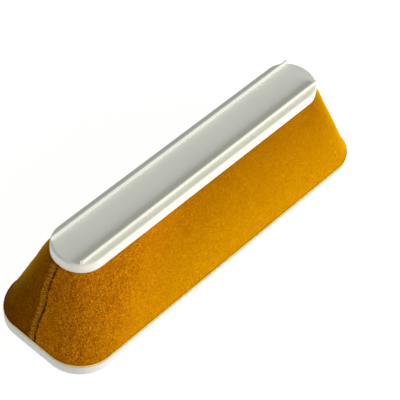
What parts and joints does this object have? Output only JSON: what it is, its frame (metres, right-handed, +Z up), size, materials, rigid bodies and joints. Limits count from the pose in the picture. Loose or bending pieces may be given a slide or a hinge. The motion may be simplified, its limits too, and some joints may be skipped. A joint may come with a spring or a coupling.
{
  "type": "foam sponge brush",
  "caption": "Hand wiping block with a white foam sole, a tapered velvet-covered foam body and a slim ribbed white plastic grip plate.",
  "frame": {"origin": "middle of the white sole's working face", "axes": "+X along the length, away from the seamed end; +Z up from the working face through the ribbed plate"},
  "size_m": [0.17, 0.0514, 0.0467],
  "materials": {
    "white_foam": "matt closed-cell foam",
    "adhesive": "tacky film",
    "board": "raw hardboard",
    "core_foam": "open-cell foam",
    "gold_velvet": "short velvet pile",
    "thread": "spun thread",
    "pad_foam": "adhesive foam pad",
    "white_plastic": "satin moulded"
  },
  "bodies": {
    "root": {"sponge_sole": "white_foam", "sole_adhesive": "adhesive", "base_board": "board", "foam_core": "core_foam", "velvet_cover": "gold_velvet", "seam_thread": "thread", "plate_pad": "pad_foam", "grip_plate": "white_plastic"}
  },
  "joints": []
}
